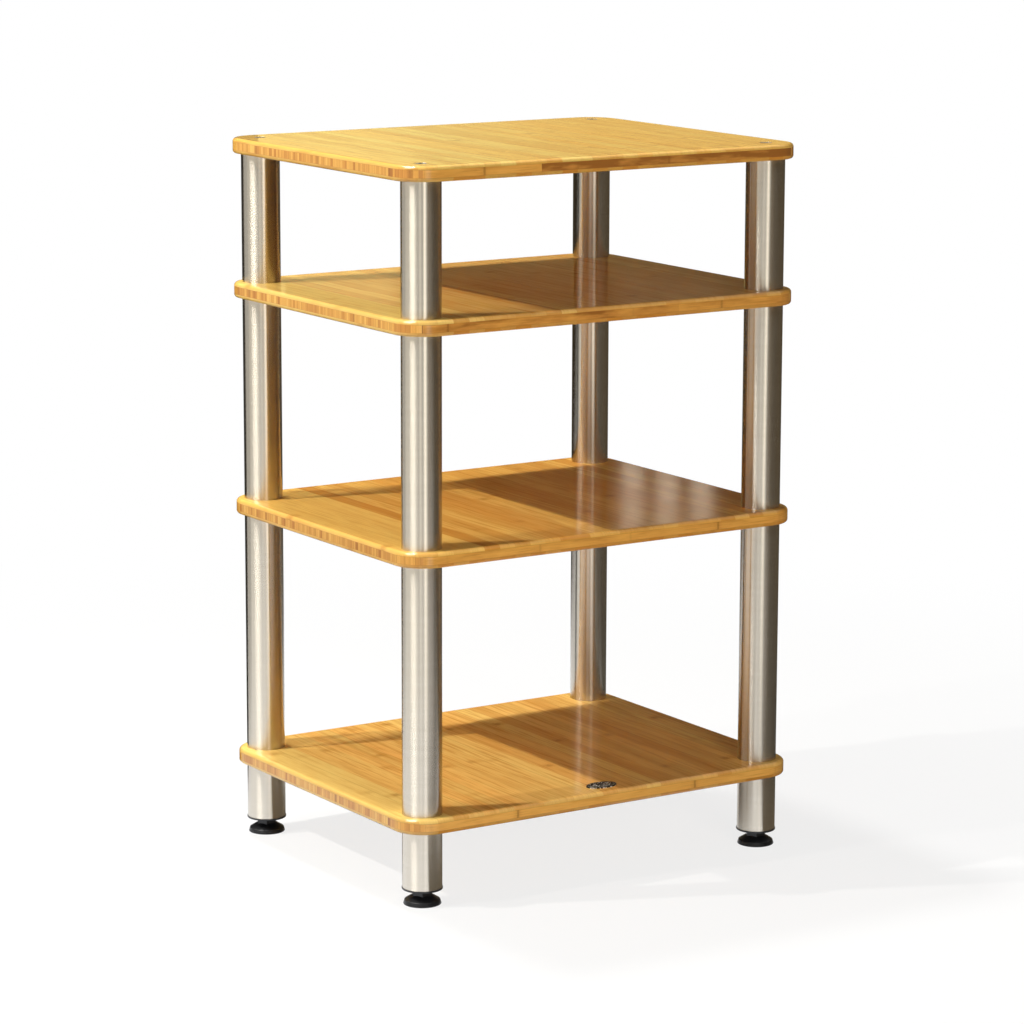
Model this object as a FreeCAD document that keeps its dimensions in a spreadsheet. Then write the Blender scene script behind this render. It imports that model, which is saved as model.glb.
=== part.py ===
import FreeCAD, Part
import os
import re
import Sketcher

# Four-shelf audio equipment rack: bamboo boards on sectional tube posts with levelling feet.
# Millimetres, +Z up. The origin is on the floor under the middle of the boards, and the
# long front edge faces -Y, so left is -X for someone standing in front of it.

SIZES = {
    # bamboo boards
    "board_length": 600,
    "board_depth": 480,
    "board_thickness": 20,
    "board_corner_radius": 43,
    "edge_top_radius": 5,
    "edge_bottom_radius": 4,
    # clear heights between boards, and the leg below the base board
    "top_bay_height": 170,
    "middle_bay_height": 270,
    "lower_bay_height": 322,
    "leg_height": 76,
    # posts: stainless tube standing in a shallow routed seat in each board
    "post_inset": 38,
    "tube_diameter": 51,
    "tube_wall": 1.5,
    "seat_depth": 1,
    "seat_gap": 0.3,
    # threads of the studs and bolts, and of the foot stems
    "bolt_thread_diameter": 8,
    "foot_thread_diameter": 10,
    "thread_gap": 0.1,
    "thread_chamfer": 1,
    "board_hole_gap": 0.25,
    # end inserts pressed into the tubes, and the studs and bolts that screw into them
    "insert_plate_thickness": 5,
    "insert_length": 18,
    "insert_boss_diameter": 22,
    "insert_fit_gap": 0.05,
    "stud_reach": 15,
    "bolt_reach": 15,
    "bolt_head_diameter": 16,
    "bolt_head_rim": 0.4,
    "bolt_head_drop": 0.2,
    "bolt_seat_gap": 0.1,
    "bolt_socket_width": 5,
    "bolt_socket_depth": 2.5,
    # moulded plug in the lower end of each leg
    "plug_flange_overhang": 0.7,
    "plug_flange_thickness": 2.4,
    "plug_flange_round": 1,
    "plug_depth": 20,
    "plug_floor_thickness": 2,
    "plug_skirt_thickness": 2,
    "plug_fin_height": 0.9,
    "plug_fin_thickness": 1.8,
    "plug_fin_pitch": 5,
    "plug_fin_gap": 0.05,
    "plug_boss_diameter": 26,
    "plug_rib_thickness": 2,
    "plug_rib_height": 9,
    "plug_hole_gap": 0.4,
    # captive nut
    "nut_width": 17,
    "nut_height": 8,
    "nut_gap": 0.1,
    "nut_lift": 6,
    # levelling foot: threaded stem with a round head, and the pad moulded round it
    "foot_travel": 15,
    "stem_least_grip": 6,
    "stem_head_diameter": 17,
    "stem_head_height": 6.4,
    "stem_head_gap": 0.15,
    "neck_width": 24,
    "neck_height": 7.6,
    "cone_top_diameter": 25,
    "cone_height": 6.4,
    "shoulder_diameter": 45.6,
    "rim_diameter": 49.2,
    "rim_height": 5.6,
    "shoulder_round": 1,
    "rim_round": 0.8,
    "pad_recess_diameter": 36,
    "pad_recess_depth": 1,
}
PLUG_FIN_COUNT = 3
PLUG_RIB_COUNT = 4

# Places worked out from the sizes
POST_X = "(board_length / 2 - post_inset)"
POST_Y = "(board_depth / 2 - post_inset)"
TUBE_BORE = "(tube_diameter - 2 * tube_wall)"
PAD_HEIGHT = "(rim_height + cone_height + neck_height)"
LEG_END = f"({PAD_HEIGHT} + plug_flange_thickness)"
BASE_BOTTOM = f"({LEG_END} + leg_height)"
BASE_TOP = f"({BASE_BOTTOM} + board_thickness)"
LOWER_BOTTOM = f"({BASE_TOP} + lower_bay_height)"
LOWER_TOP = f"({LOWER_BOTTOM} + board_thickness)"
UPPER_BOTTOM = f"({LOWER_TOP} + middle_bay_height)"
UPPER_TOP = f"({UPPER_BOTTOM} + board_thickness)"
TOP_BOTTOM = f"({UPPER_TOP} + top_bay_height)"
TOP_TOP = f"({TOP_BOTTOM} + board_thickness)"

CORNERS = {
    "front_left": (-1, -1),
    "front_right": (1, -1),
    "rear_left": (-1, 1),
    "rear_right": (1, 1),
}

doc = FreeCAD.newDocument("equipment_rack")
sheet = doc.addObject("Spreadsheet::Sheet", "Sizes")
for row, (alias, size) in enumerate(SIZES.items(), start=1):
    sheet.set(f"A{row}", alias)
    sheet.set(f"B{row}", str(size))
    sheet.setAlias(f"B{row}", alias)
doc.recompute()


def formula(text):
    """The text with each size's name written as a reference to its cell."""
    return re.sub(r"[a-z_]+", lambda word: f"Sizes.{word[0]}" if word[0] in SIZES else word[0], text)


def value(text):
    return float(sheet.evalExpression(formula(text)))


def bind(item, field, text):
    item.setExpression(field, formula(text))


def new_body(name, x="0", y="0", z="0"):
    body = doc.addObject("PartDesign::Body", name)
    body.Label = name
    for axis, place in zip("xyz", (x, y, z)):
        bind(body, f"Placement.Base.{axis}", place)
    return body


def origin_feature(body, role):
    return next(item for item in body.Origin.OriginFeatures if item.Role == role)


def new_sketch(body, role, name, x="0", y="0", z="0", turn=0):
    """A sketch on one of the body's own planes, shifted and turned within that plane's frame."""
    sketch = body.newObject("Sketcher::SketchObject", name)
    sketch.AttachmentSupport = [(origin_feature(body, role), "")]
    sketch.MapMode = "FlatFace"
    axis = FreeCAD.Vector(0, 0, 1)
    sketch.AttachmentOffset = FreeCAD.Placement(FreeCAD.Vector(), FreeCAD.Rotation(axis, turn))
    for letter, place in zip("xyz", (x, y, z)):
        bind(sketch, f"AttachmentOffset.Base.{letter}", place)
    return sketch


def constrain(sketch, *terms):
    return sketch.addConstraint(Sketcher.Constraint(*terms))


def dimension(sketch, text, kind, *terms):
    index = constrain(sketch, kind, *terms, value(text))
    bind(sketch, f"Constraints[{index}]", text)


def draw_outline(sketch, points):
    """A closed outline of straight runs. Each point is a pair of formulas, none negative."""
    corners = [FreeCAD.Vector(value(x), value(y), 0) for x, y in points]
    count = len(points)
    lines = [
        sketch.addGeometry(Part.LineSegment(corners[i], corners[(i + 1) % count]))
        for i in range(count)
    ]
    for i, (x, y) in enumerate(points):
        constrain(sketch, "Coincident", lines[i - 1], 2, lines[i], 1)
        for text, axis, kind in ((x, -2, "DistanceX"), (y, -1, "DistanceY")):
            if text == "0":
                constrain(sketch, "PointOnObject", lines[i], 1, axis)
            else:
                dimension(sketch, text, kind, -1, 1, lines[i], 1)


def draw_rectangle(sketch, length, width):
    """A rectangle centred on the sketch's origin."""
    x, y = value(length) / 2, value(width) / 2
    spots = [FreeCAD.Vector(*spot, 0) for spot in ((-x, -y), (x, -y), (x, y), (-x, y))]
    lines = [sketch.addGeometry(Part.LineSegment(spots[i], spots[(i + 1) % 4])) for i in range(4)]
    for i, kind in enumerate(("Horizontal", "Vertical") * 2):
        constrain(sketch, "Coincident", lines[i - 1], 2, lines[i], 1)
        constrain(sketch, kind, lines[i])
    constrain(sketch, "Symmetric", lines[0], 1, lines[2], 1, -1, 1)
    dimension(sketch, length, "DistanceX", lines[0], 1, lines[0], 2)
    dimension(sketch, width, "DistanceY", lines[1], 1, lines[1], 2)


def draw_circle(sketch, diameter):
    """A circle on the sketch's origin."""
    circle = Part.Circle(FreeCAD.Vector(), FreeCAD.Vector(0, 0, 1), value(diameter) / 2)
    round_line = sketch.addGeometry(circle)
    constrain(sketch, "Coincident", round_line, 3, -1, 1)
    dimension(sketch, diameter, "Diameter", round_line)
    return round_line


def draw_post_circles(sketch, diameter):
    """One circle on each of the four post axes."""
    x, y = value(POST_X), value(POST_Y)
    radius = value(diameter) / 2
    first = None
    for side, end in ((1, 1), (-1, 1), (1, -1), (-1, -1)):
        centre = FreeCAD.Vector(side * x, end * y, 0)
        circle = sketch.addGeometry(Part.Circle(centre, FreeCAD.Vector(0, 0, 1), radius))
        if first is None:
            first = circle
            dimension(sketch, diameter, "Diameter", circle)
            dimension(sketch, POST_X, "DistanceX", -1, 1, circle, 3)
            dimension(sketch, POST_Y, "DistanceY", -1, 1, circle, 3)
            continue
        constrain(sketch, "Equal", first, circle)
        mirror = {(-1, 1): (-2,), (1, -1): (-1,), (-1, -1): (-1, 1)}[side, end]
        constrain(sketch, "Symmetric", first, 3, circle, 3, *mirror)


def draw_hexagon(sketch, width):
    """A hexagon on the sketch's origin, given by its width across flats, with a corner on +X."""
    reach = f"({width}) / sqrt(3)"
    ring = draw_circle(sketch, f"2 * {reach}")
    sketch.setConstruction(ring, True)
    radius = value(reach)
    spots = [
        FreeCAD.Rotation(FreeCAD.Vector(0, 0, 1), 60 * i).multVec(FreeCAD.Vector(radius, 0, 0))
        for i in range(6)
    ]
    lines = [sketch.addGeometry(Part.LineSegment(spots[i], spots[(i + 1) % 6])) for i in range(6)]
    for i in range(6):
        constrain(sketch, "Coincident", lines[i - 1], 2, lines[i], 1)
        constrain(sketch, "PointOnObject", lines[i], 1, ring)
    for line in lines[1:]:
        constrain(sketch, "Equal", lines[0], line)
    constrain(sketch, "PointOnObject", lines[0], 1, -1)


def pad(body, sketch, length):
    feature = body.newObject("PartDesign::Pad", f"{sketch.Name}_pad")
    feature.Profile = sketch
    bind(feature, "Length", length)
    doc.recompute()
    return feature


def revolve(body, sketch):
    """The sketch turned about its own vertical axis."""
    feature = body.newObject("PartDesign::Revolution", f"{sketch.Name}_turned")
    feature.Profile = sketch
    feature.ReferenceAxis = (sketch, ["V_Axis"])
    feature.Angle = 360
    doc.recompute()
    return feature


def check_cut(body, feature, before):
    doc.recompute()
    if not body.Shape.Volume < before:
        raise RuntimeError(f"{feature.Label} cuts nothing")


def pocket(body, sketch, depth=None, upward=False):
    """A cut below the sketch, or above it: right through where no depth is given."""
    before = body.Shape.Volume
    feature = body.newObject("PartDesign::Pocket", f"{sketch.Name}_cut")
    feature.Profile = sketch
    feature.Reversed = upward
    if depth is None:
        feature.Type = "ThroughAll"
    else:
        bind(feature, "Length", depth)
    check_cut(body, feature, before)
    return feature


def drill(body, sketch, diameter, sink_diameter=None):
    """Through holes below the sketch's circles, countersunk at a right angle where asked."""
    before = body.Shape.Volume
    feature = body.newObject("PartDesign::Hole", f"{sketch.Name}_drilled")
    feature.Profile = sketch
    feature.DepthType = "ThroughAll"
    bind(feature, "Diameter", diameter)
    if sink_diameter is not None:
        feature.HoleCutType = "Countersink"
        feature.HoleCutCustomValues = True
        feature.HoleCutCountersinkAngle = 90
        bind(feature, "HoleCutDiameter", sink_diameter)
    check_cut(body, feature, before)
    return feature


def round_edges(body, base, chosen, radius):
    """A fillet on the edges of the base feature for which chosen(edge) is true."""
    names = [f"Edge{i}" for i, edge in enumerate(base.Shape.Edges, start=1) if chosen(edge)]
    feature = body.newObject("PartDesign::Fillet", f"{base.Name}_rounded")
    feature.Base = (base, names)
    bind(feature, "Radius", radius)
    doc.recompute()
    return feature


def is_upright(edge):
    first, last = (vertex.Point for vertex in (edge.Vertexes[0], edge.Vertexes[-1]))
    return abs(first.z - last.z) > max(abs(first.x - last.x), abs(first.y - last.y))


def lies_at(height, diameter=None):
    """A test for level edges at a height, or only for full circles of one diameter there."""
    level = value(height)
    radius = None if diameter is None else value(diameter) / 2

    def chosen(edge):
        box = edge.BoundBox
        if abs(box.ZMin - level) > Part.Precision.confusion() * 10:
            return False
        if box.ZMax - box.ZMin > Part.Precision.confusion() * 10:
            return False
        return radius is None or abs(getattr(edge.Curve, "Radius", 0) - radius) < radius / 1000

    return chosen


def repeat_at_posts(body):
    """The body's whole shape, made at one post, mirrored to all four."""
    for role in ("YZ_Plane", "XZ_Plane"):
        feature = body.newObject("PartDesign::Mirrored", f"{body.Name}_{role}")
        feature.TransformMode = "Whole shape"
        feature.MirrorPlane = (origin_feature(body, role), [""])
        body.Tip = feature
        doc.recompute()


def make_board(name, bottom, tubes_above):
    body = new_body(name, z=bottom)
    outline = new_sketch(body, "XY_Plane", f"{name}_outline")
    draw_rectangle(outline, "board_length", "board_depth")
    slab = pad(body, outline, "board_thickness")
    cornered = round_edges(body, slab, is_upright, "board_corner_radius")
    topped = round_edges(body, cornered, lies_at("board_thickness"), "edge_top_radius")
    round_edges(body, topped, lies_at("0"), "edge_bottom_radius")

    seat = "tube_diameter + 2 * seat_gap"
    lower_seats = new_sketch(body, "XY_Plane", f"{name}_lower_seats")
    draw_post_circles(lower_seats, seat)
    pocket(body, lower_seats, "seat_depth", upward=True)
    if tubes_above:
        upper_seats = new_sketch(body, "XY_Plane", f"{name}_upper_seats", z="board_thickness")
        draw_post_circles(upper_seats, seat)
        pocket(body, upper_seats, "seat_depth")

    hole = "bolt_thread_diameter + 2 * board_hole_gap"
    holes = new_sketch(body, "XY_Plane", f"{name}_holes", z="board_thickness")
    draw_post_circles(holes, hole)
    if tubes_above:
        drill(body, holes, hole)
    else:
        sink = "bolt_head_diameter + 2 * (bolt_head_rim + bolt_head_drop + bolt_seat_gap)"
        drill(body, holes, hole, sink)
    return body


def make_tube(name, x, y, bottom, length):
    body = new_body(name, x, y, bottom)
    ring = new_sketch(body, "XY_Plane", f"{name}_section")
    draw_circle(ring, "tube_diameter")
    draw_circle(ring, TUBE_BORE)
    pad(body, ring, length)
    return body


def make_post_fasteners(name, points, start, downward=False):
    """Turned pieces, one at each post, from a half profile of (radius, distance from start)."""
    body = new_body(name)
    turn = 180 if downward else 0
    profile = new_sketch(body, "XZ_Plane", f"{name}_profile", POST_X, start, POST_Y, turn)
    draw_outline(profile, points)
    revolve(body, profile)
    return body


def make_inserts(name, tube_end, downward):
    bore = "(bolt_thread_diameter / 2 + thread_gap)"
    rim = f"({TUBE_BORE} / 2 - insert_fit_gap)"
    boss = "insert_boss_diameter / 2"
    points = [
        (bore, "0"),
        (rim, "0"),
        (rim, "insert_plate_thickness"),
        (boss, "insert_plate_thickness"),
        (boss, "insert_length"),
        (bore, "insert_length"),
    ]
    body = make_post_fasteners(name, points, tube_end, downward)
    repeat_at_posts(body)
    return body


def make_studs(name, board_bottom):
    """Double-ended studs through one board, reaching into the inserts below and above it."""
    length = "(board_thickness - 2 * seat_depth + 2 * stud_reach)"
    tip = "bolt_thread_diameter / 2 - thread_chamfer"
    side = "bolt_thread_diameter / 2"
    points = [
        ("0", "0"),
        (tip, "0"),
        (side, "thread_chamfer"),
        (side, f"{length} - thread_chamfer"),
        (tip, length),
        ("0", length),
    ]
    body = make_post_fasteners(name, points, f"{board_bottom} + seat_depth - stud_reach")
    repeat_at_posts(body)
    return body


def make_bolts(name):
    """Countersunk bolts in the top board, each with a hex socket."""
    head = "bolt_head_diameter / 2"
    shank = "bolt_thread_diameter / 2"
    cone_end = f"(bolt_head_rim + {head} - {shank})"
    length = "(board_thickness - seat_depth - bolt_head_drop + bolt_reach)"
    head_top = f"{TOP_TOP} - bolt_head_drop"
    points = [
        ("0", "0"),
        (head, "0"),
        (head, "bolt_head_rim"),
        (shank, cone_end),
        (shank, f"{length} - thread_chamfer"),
        (f"{shank} - thread_chamfer", length),
        ("0", length),
    ]
    body = make_post_fasteners(name, points, head_top, downward=True)
    socket = new_sketch(body, "XY_Plane", f"{name}_socket", POST_X, f"-{POST_Y}", head_top)
    draw_hexagon(socket, "bolt_socket_width")
    pocket(body, socket, "bolt_socket_depth")
    repeat_at_posts(body)
    return body


def make_plug(name, x, y):
    """Moulded plug: a flange under the tube's end, a finned skirt inside it, and a ribbed nut boss."""
    body = new_body(name, x, y, LEG_END)
    flange = "(tube_diameter / 2 + plug_flange_overhang)"
    hole = "(foot_thread_diameter / 2 + plug_hole_gap)"
    skirt = f"({TUBE_BORE} / 2 - plug_fin_gap - plug_fin_height)"
    skirt_bore = f"({skirt} - plug_skirt_thickness)"
    boss = "(plug_boss_diameter / 2)"
    boss_top = "(plug_flange_thickness + nut_lift + nut_height)"
    floor = "(plug_flange_thickness + plug_floor_thickness)"
    skirt_top = "(plug_flange_thickness + plug_depth)"
    profile = new_sketch(body, "XZ_Plane", f"{name}_profile", y="-plug_flange_thickness")
    points = [
        (hole, "0"),
        (flange, "0"),
        (flange, "plug_flange_thickness"),
        (skirt, "plug_flange_thickness"),
        (skirt, skirt_top),
        (skirt_bore, skirt_top),
        (skirt_bore, floor),
        (boss, floor),
        (boss, boss_top),
        (hole, boss_top),
    ]
    draw_outline(profile, points)
    cup = revolve(body, profile)
    round_edges(body, cup, lies_at("-plug_flange_thickness", f"2 * {flange}"), "plug_flange_round")

    fin = new_sketch(body, "XZ_Plane", f"{name}_fin", y="plug_depth - plug_fin_pitch")
    fin_points = [
        (skirt, "0"),
        (f"{skirt} + plug_fin_height", "plug_fin_thickness / 2"),
        (skirt, "plug_fin_thickness"),
    ]
    draw_outline(fin, fin_points)
    top_fin = revolve(body, fin)
    fins = body.newObject("PartDesign::LinearPattern", f"{name}_fins")
    fins.Originals = [top_fin]
    fins.Direction = (origin_feature(body, "Z_Axis"), [""])
    fins.Reversed = True
    fins.Mode = "Spacing"
    bind(fins, "Offset", "plug_fin_pitch")
    fins.Occurrences = PLUG_FIN_COUNT
    body.Tip = fins
    doc.recompute()

    rib_start = f"({boss} - plug_rib_thickness)"
    rib_end = f"({skirt} - plug_skirt_thickness / 2)"
    rib = new_sketch(body, "XY_Plane", f"{name}_rib", x=f"({rib_start} + {rib_end}) / 2")
    draw_rectangle(rib, f"{rib_end} - {rib_start}", "plug_rib_thickness")
    first_rib = pad(body, rib, "plug_floor_thickness + plug_rib_height")
    ribs = body.newObject("PartDesign::PolarPattern", f"{name}_ribs")
    ribs.Originals = [first_rib]
    ribs.Axis = (origin_feature(body, "Z_Axis"), [""])
    ribs.Occurrences = PLUG_RIB_COUNT
    body.Tip = ribs
    doc.recompute()

    trap = new_sketch(body, "XY_Plane", f"{name}_nut_trap", z="nut_lift + nut_height")
    draw_hexagon(trap, "nut_width + 2 * nut_gap")
    pocket(body, trap, "nut_height")
    return body


def make_nuts(name):
    body = new_body(name)
    place = (POST_X, f"-{POST_Y}", f"{LEG_END} + nut_lift")
    outline = new_sketch(body, "XY_Plane", f"{name}_outline", *place)
    draw_hexagon(outline, "nut_width")
    draw_circle(outline, "foot_thread_diameter + 2 * thread_gap")
    pad(body, outline, "nut_height")
    repeat_at_posts(body)
    return body


def make_stem(name, x, y):
    """Threaded stem. Wound in, it still leaves its travel and the least grip above the nut's seat."""
    seat = f"({PAD_HEIGHT} - stem_head_height)"
    body = new_body(name, x, y, seat)
    head = "stem_head_diameter / 2"
    side = "foot_thread_diameter / 2"
    length = f"({LEG_END} + nut_lift + stem_least_grip + foot_travel - {seat})"
    profile = new_sketch(body, "XZ_Plane", f"{name}_profile")
    points = [
        ("0", "0"),
        (head, "0"),
        (head, "stem_head_height"),
        (side, "stem_head_height"),
        (side, f"{length} - thread_chamfer"),
        (f"{side} - thread_chamfer", length),
        ("0", length),
    ]
    draw_outline(profile, points)
    revolve(body, profile)
    return body


def make_pad(name, x, y):
    """Moulded foot: rim, cone and hex neck, with a socket for the stem's head and a hollow sole."""
    body = new_body(name, x, y)
    rim = "rim_diameter / 2"
    shoulder = "shoulder_diameter / 2"
    cone_top = "rim_height + cone_height"
    profile = new_sketch(body, "XZ_Plane", f"{name}_profile")
    points = [
        ("0", "0"),
        (rim, "0"),
        (shoulder, "rim_height"),
        ("cone_top_diameter / 2", cone_top),
        ("0", cone_top),
    ]
    draw_outline(profile, points)
    base = revolve(body, profile)
    shouldered = round_edges(body, base, lies_at("rim_height", "shoulder_diameter"), "shoulder_round")
    round_edges(body, shouldered, lies_at("0", "rim_diameter"), "rim_round")

    neck = new_sketch(body, "XY_Plane", f"{name}_neck", z="rim_height")
    draw_hexagon(neck, "neck_width")
    pad(body, neck, "cone_height + neck_height")

    socket = new_sketch(body, "XY_Plane", f"{name}_socket", z=PAD_HEIGHT)
    draw_circle(socket, "stem_head_diameter + 2 * stem_head_gap")
    pocket(body, socket, "stem_head_height")
    sole = new_sketch(body, "XY_Plane", f"{name}_sole")
    draw_circle(sole, "pad_recess_diameter")
    pocket(body, sole, "pad_recess_depth", upward=True)
    return body


nodes = [
    make_board("base_shelf", BASE_BOTTOM, True),
    make_board("lower_shelf", LOWER_BOTTOM, True),
    make_board("upper_shelf", UPPER_BOTTOM, True),
    make_board("top_shelf", TOP_BOTTOM, False),
    make_bolts("top_shelf_bolts"),
    make_studs("base_shelf_studs", BASE_BOTTOM),
    make_studs("lower_shelf_studs", LOWER_BOTTOM),
    make_studs("upper_shelf_studs", UPPER_BOTTOM),
    make_nuts("foot_nuts"),
]

# Each tier of tubes runs from the seat in one board to the seat in the next; the legs hang below the base board.
TIERS = {
    "top": (f"{UPPER_TOP} - seat_depth", "top_bay_height + 2 * seat_depth"),
    "middle": (f"{LOWER_TOP} - seat_depth", "middle_bay_height + 2 * seat_depth"),
    "lower": (f"{BASE_TOP} - seat_depth", "lower_bay_height + 2 * seat_depth"),
    "leg": (LEG_END, "leg_height + seat_depth"),
}
for tier, (tube_bottom, tube_length) in TIERS.items():
    for corner, (side, end) in CORNERS.items():
        place = (f"{side} * {POST_X}", f"{end} * {POST_Y}")
        nodes.append(make_tube(f"{tier}_tube_{corner}", *place, tube_bottom, tube_length))
    nodes.append(make_inserts(f"{tier}_tube_upper_inserts", f"{tube_bottom} + {tube_length}", True))
    if tier != "leg":
        nodes.append(make_inserts(f"{tier}_tube_lower_inserts", tube_bottom, False))

for corner, (side, end) in CORNERS.items():
    place = (f"{side} * {POST_X}", f"{end} * {POST_Y}")
    nodes.append(make_plug(f"foot_plug_{corner}", *place))
    nodes.append(make_stem(f"foot_stem_{corner}", *place))
    nodes.append(make_pad(f"foot_pad_{corner}", *place))

doc.recompute()
for item in doc.Objects:
    if {"Invalid", "Error"} & set(item.State):
        raise RuntimeError(f"{item.Label} failed: {item.State}")
for node in nodes:
    if node.Shape.isNull() or not node.Shape.isValid():
        raise RuntimeError(f"{node.Label} has no valid shape")

os.makedirs("parts", exist_ok=True)
for node in nodes:
    node.Shape.exportStep(f"parts/{node.Label}.step")
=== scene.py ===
import math
from collections import namedtuple

import bmesh
import bpy
from mathutils import Matrix, Vector


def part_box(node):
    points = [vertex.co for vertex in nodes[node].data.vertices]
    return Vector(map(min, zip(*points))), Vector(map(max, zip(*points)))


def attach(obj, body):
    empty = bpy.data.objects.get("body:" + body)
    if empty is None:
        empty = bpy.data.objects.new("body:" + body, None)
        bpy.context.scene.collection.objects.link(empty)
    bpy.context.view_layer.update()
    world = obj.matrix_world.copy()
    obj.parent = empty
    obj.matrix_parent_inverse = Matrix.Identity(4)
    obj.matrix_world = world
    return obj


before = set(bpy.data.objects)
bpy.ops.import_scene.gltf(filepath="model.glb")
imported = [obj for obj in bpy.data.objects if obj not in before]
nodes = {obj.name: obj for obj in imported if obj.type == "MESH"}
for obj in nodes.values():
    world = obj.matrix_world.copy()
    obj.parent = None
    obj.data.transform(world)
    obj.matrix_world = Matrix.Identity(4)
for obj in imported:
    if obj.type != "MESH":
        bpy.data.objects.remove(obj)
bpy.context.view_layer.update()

MM = 0.001
SHELVES = ("base_shelf", "lower_shelf", "upper_shelf", "top_shelf")
CORNERS = ("front_left", "front_right", "rear_left", "rear_right")
TIERS = ("leg", "lower", "middle", "top")


# Node trees

class Value:
    """A number at a socket. Arithmetic on it adds the Math nodes."""

    def __init__(self, finish, socket):
        self.finish = finish
        self.socket = socket

    def math(self, operation, *others):
        return self.finish.math(operation, self, *others)

    def __add__(self, other):
        return self.math("ADD", other)

    __radd__ = __add__

    def __sub__(self, other):
        return self.math("SUBTRACT", other)

    def __rsub__(self, other):
        return self.finish.math("SUBTRACT", other, self)

    def __mul__(self, other):
        return self.math("MULTIPLY", other)

    __rmul__ = __mul__

    def __truediv__(self, other):
        return self.math("DIVIDE", other)

    def __abs__(self):
        return self.math("ABSOLUTE")

    def __gt__(self, other):
        return self.math("GREATER_THAN", other)

    def __lt__(self, other):
        return self.math("LESS_THAN", other)

    def floor(self):
        return self.math("FLOOR")

    def nearest(self):
        return self.math("ROUND")

    def least(self, other):
        return self.math("MINIMUM", other)

    def most(self, other):
        return self.math("MAXIMUM", other)

    def fade(self, start, end):
        """0 up to start, 1 from end on, and a smooth step between; start may be the larger."""
        made = self.finish.node(
            "ShaderNodeMapRange",
            {"interpolation_type": "SMOOTHSTEP"},
            {"Value": self, "From Min": start, "From Max": end, "To Min": 0, "To Max": 1},
        )
        return Value(self.finish, made.outputs["Result"])


class Finish:
    """One node tree being made, with short ways to add to it."""

    def __init__(self, tree):
        self.tree = tree
        tree.nodes.clear()

    def node(self, kind, settings=None, sockets=None):
        made = self.tree.nodes.new(kind)
        for name, setting in (settings or {}).items():
            if name == "stops":
                self.set_stops(made.color_ramp, setting)
            else:
                setattr(made, name, setting)
        for name, value in (sockets or {}).items():
            self.feed(made.inputs[name], value)
        return made

    def feed(self, socket, value):
        if isinstance(value, Value):
            value = value.socket
        if isinstance(value, bpy.types.NodeSocket):
            self.tree.links.new(value, socket)
        else:
            socket.default_value = value

    def set_stops(self, ramp, stops):
        while len(ramp.elements) < len(stops):
            ramp.elements.new(1.0)
        for element, (place, colour) in zip(ramp.elements, stops):
            element.position = place
            element.color = (*colour, 1)

    def math(self, operation, *values):
        made = self.node("ShaderNodeMath", {"operation": operation}, dict(enumerate(values)))
        return Value(self, made.outputs[0])

    def mix(self, factor, first, second):
        """The first colour at factor 0, the second at 1."""
        first, second = (c if isinstance(c, bpy.types.NodeSocket) else (*c, 1) for c in (first, second))
        made = self.node("ShaderNodeMix", {"data_type": "RGBA"}, {0: factor, 6: first, 7: second})
        return made.outputs[2]

    def ramp(self, value, *stops):
        made = self.node("ShaderNodeValToRGB", {"stops": stops}, {"Fac": value})
        return made.outputs["Color"]

    def place(self, centre=(0, 0, 0)):
        """Object coordinates from a centre, in millimetres."""
        coordinates = self.node("ShaderNodeTexCoord").outputs["Object"]
        moved = self.node("ShaderNodeVectorMath", {"operation": "SUBTRACT"}, {0: coordinates, 1: centre})
        sockets = {0: moved.outputs[0], "Scale": 1 / MM}
        return self.node("ShaderNodeVectorMath", {"operation": "SCALE"}, sockets).outputs[0]

    def parts(self, vector):
        made = self.node("ShaderNodeSeparateXYZ", None, {0: vector})
        return [Value(self, socket) for socket in made.outputs]

    def vector(self, *parts):
        return self.node("ShaderNodeCombineXYZ", None, dict(enumerate(parts))).outputs[0]

    def stretched(self, vector, lengths):
        """The vector divided by a length along each axis."""
        shares = tuple(1 / length for length in lengths)
        made = self.node("ShaderNodeVectorMath", {"operation": "MULTIPLY"}, {0: vector, 1: shares})
        return made.outputs[0]

    def noise(self, vector, lengths, detail=2.0, roughness=0.5):
        """Smooth noise about 0 to 1, whose features have the given lengths in millimetres."""
        made = self.node(
            "ShaderNodeTexNoise",
            {"noise_dimensions": "3D"},
            {"Vector": self.stretched(vector, lengths), "Scale": 1, "Detail": detail, "Roughness": roughness},
        )
        return Value(self, made.outputs["Fac"])

    def chance(self, *numbers):
        """A random number from 0 to 1 that depends only on up to three numbers."""
        sockets = {"Vector": self.vector(*numbers)}
        made = self.node("ShaderNodeTexWhiteNoise", {"noise_dimensions": "3D"}, sockets)
        return Value(self, made.outputs["Value"])

    def bump(self, height, depth, strength):
        """A normal bent by a height from 0 to 1 over a depth in millimetres."""
        made = self.node(
            "ShaderNodeBump", None, {"Strength": strength, "Distance": depth * MM, "Height": height}
        )
        return made.outputs["Normal"]

    def length(self, vector):
        made = self.node("ShaderNodeVectorMath", {"operation": "LENGTH"}, {0: vector})
        return Value(self, made.outputs["Value"])

    def glow(self, colour, strength):
        return self.node("ShaderNodeEmission", None, {"Color": colour, "Strength": strength})

    def show(self, shader):
        self.node("ShaderNodeOutputMaterial", None, {"Surface": shader.outputs[0]})

    def surface(self, sockets):
        self.show(self.node("ShaderNodeBsdfPrincipled", None, sockets))


def new_finish(name):
    material = bpy.data.materials.new(name)
    material.use_nodes = True
    return material, Finish(material.node_tree)


def dress(node_names, material):
    for name in node_names:
        mesh = nodes[name].data
        mesh.materials.clear()
        mesh.materials.append(material)


def to_mesh(made, name):
    """The bmesh that has been shaped, as a new mesh."""
    mesh = bpy.data.meshes.new(name)
    made.to_mesh(mesh)
    made.free()
    return mesh


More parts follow.
